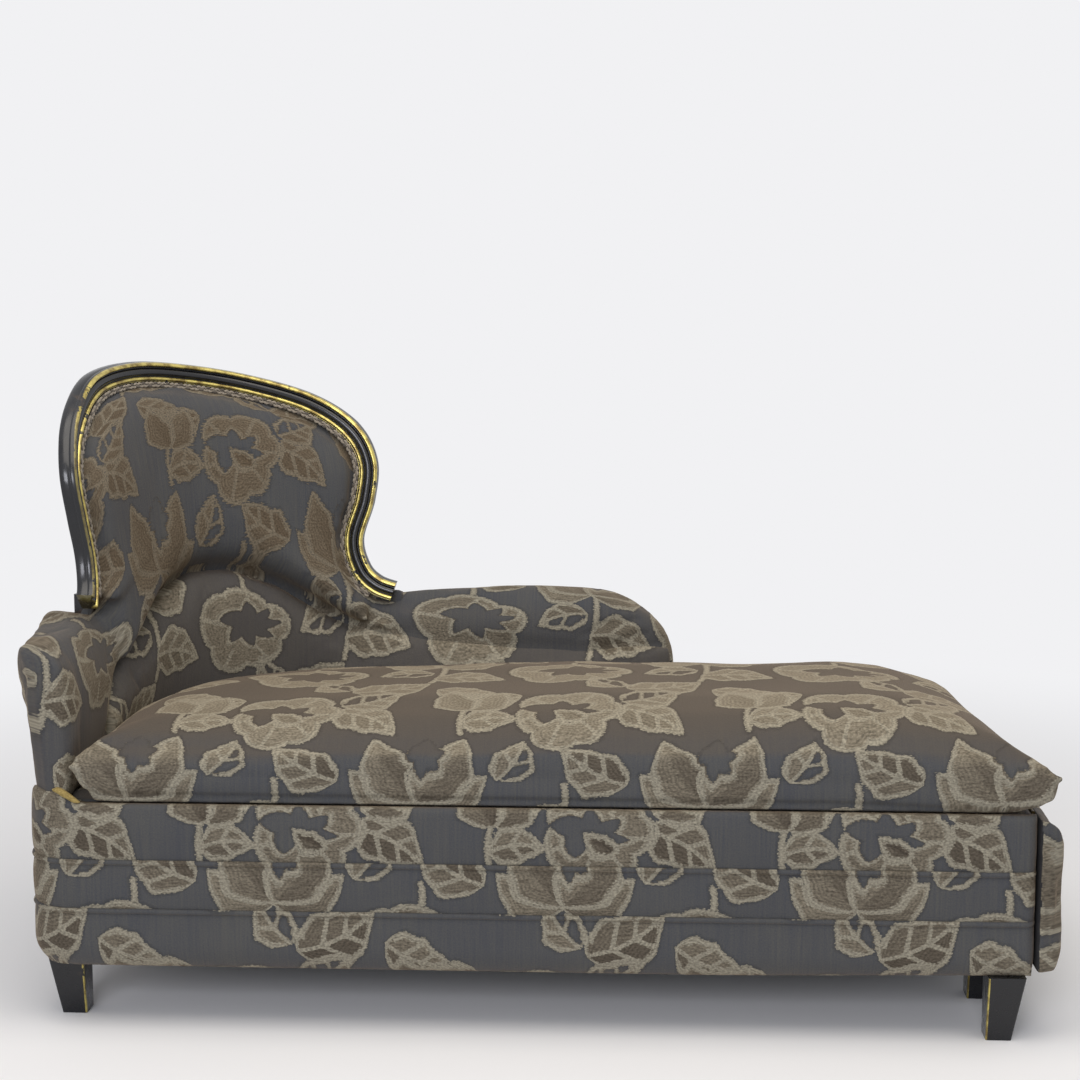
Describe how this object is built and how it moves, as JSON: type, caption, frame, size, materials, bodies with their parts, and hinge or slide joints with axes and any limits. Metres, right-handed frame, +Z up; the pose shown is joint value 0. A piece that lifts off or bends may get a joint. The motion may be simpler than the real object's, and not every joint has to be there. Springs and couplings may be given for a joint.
{
  "type": "upholstered daybed",
  "caption": "Upholstered daybed with an ebonised, gilt-lined medallion back round one corner, padded arms, loose mattress, rolled border base, tapered legs and a hinged end flap.",
  "frame": {"origin": "bottom centre of the bounding box, on the floor", "axes": "+X towards the foot end, along the length; +Z up; -Y towards the open front"},
  "size_m": [1.644, 0.757, 1.024],
  "materials": {
    "frame_wood": "unfinished beech, hidden under the upholstery",
    "ebonised_leg": "ebonised and polished, worn gilt lines on the arrises",
    "ebonised_gilt_frame": "ebonised moulding with gilt beads",
    "floral_jacquard": "woven floral jacquard on a slate ground",
    "jute_webbing": "woven jute strap",
    "spring_steel": "drawn wire",
    "hinge_brass": "plain brass",
    "gimp_braid": "woven braid",
    "hessian": "open plain weave",
    "black_cloth": "thin lining cloth"
  },
  "bodies": {
    "base": {"front_rail": "frame_wood", "rear_rail": "frame_wood", "head_rail": "frame_wood", "foot_rail": "frame_wood", "corner_rail": "frame_wood", "front_corner_block": "frame_wood", "centre_brace": "frame_wood", "front_cleat": "frame_wood", "rear_cleat": "frame_wood", "head_arm_post": "frame_wood", "left_back_post": "frame_wood", "right_back_post": "frame_wood", "rear_arm_post": "frame_wood", "head_arm_rail": "frame_wood", "rear_arm_rail": "frame_wood", "lower_back_rail": "frame_wood", "leg_front_head": "ebonised_leg", "leg_rear_head": "ebonised_leg", "leg_front_foot": "ebonised_leg", "leg_rear_foot": "ebonised_leg", "leg_inner_front": "ebonised_leg", "leg_inner_rear": "ebonised_leg", "left_stile": "ebonised_gilt_frame", "crest_rail": "ebonised_gilt_frame", "right_stile": "ebonised_gilt_frame", "back_pad": "floral_jacquard", "outside_back_panel": "floral_jacquard", "lumbar_pad": "floral_jacquard", "outer_back_pad": "floral_jacquard", "head_arm_pad": "floral_jacquard", "head_arm_facing": "floral_jacquard", "rear_arm_pad": "floral_jacquard", "rear_arm_facing": "floral_jacquard", "lower_border_roll": "floral_jacquard", "middle_border_roll": "floral_jacquard", "upper_border_roll": "floral_jacquard", "lower_piping": "floral_jacquard", "upper_piping": "floral_jacquard", "deck_pad": "floral_jacquard", "cross_webbing_1": "jute_webbing", "cross_webbing_2": "jute_webbing", "cross_webbing_3": "jute_webbing", "long_webbing_1": "jute_webbing", "long_webbing_2": "jute_webbing", "spring_1": "spring_steel", "spring_2": "spring_steel", "spring_3": "spring_steel", "spring_4": "spring_steel", "spring_5": "spring_steel", "spring_6": "spring_steel", "hinge_fixed_leaf": "hinge_brass", "hinge_pin": "hinge_brass", "gimp_braid": "gimp_braid", "spring_cover": "hessian", "dust_cover": "black_cloth"},
    "end_flap": {"flap_board": "frame_wood", "flap_pad": "floral_jacquard", "hinge_flap_leaf": "hinge_brass"},
    "loose_mattress": {"mattress": "floral_jacquard"}
  },
  "joints": [
    {"name": "end_flap_hinge", "type": "hinge", "parent": "base", "child": "end_flap", "pos_m": [0.79275, 0, 0.352], "axis": [0, -1, 0], "range_deg": [0, 90]},
    {"name": "mattress_lift", "type": "slide", "parent": "base", "child": "loose_mattress", "axis": [0.4505, -0.4505, 0.7708], "range_m": [0, 0.25]}
  ]
}
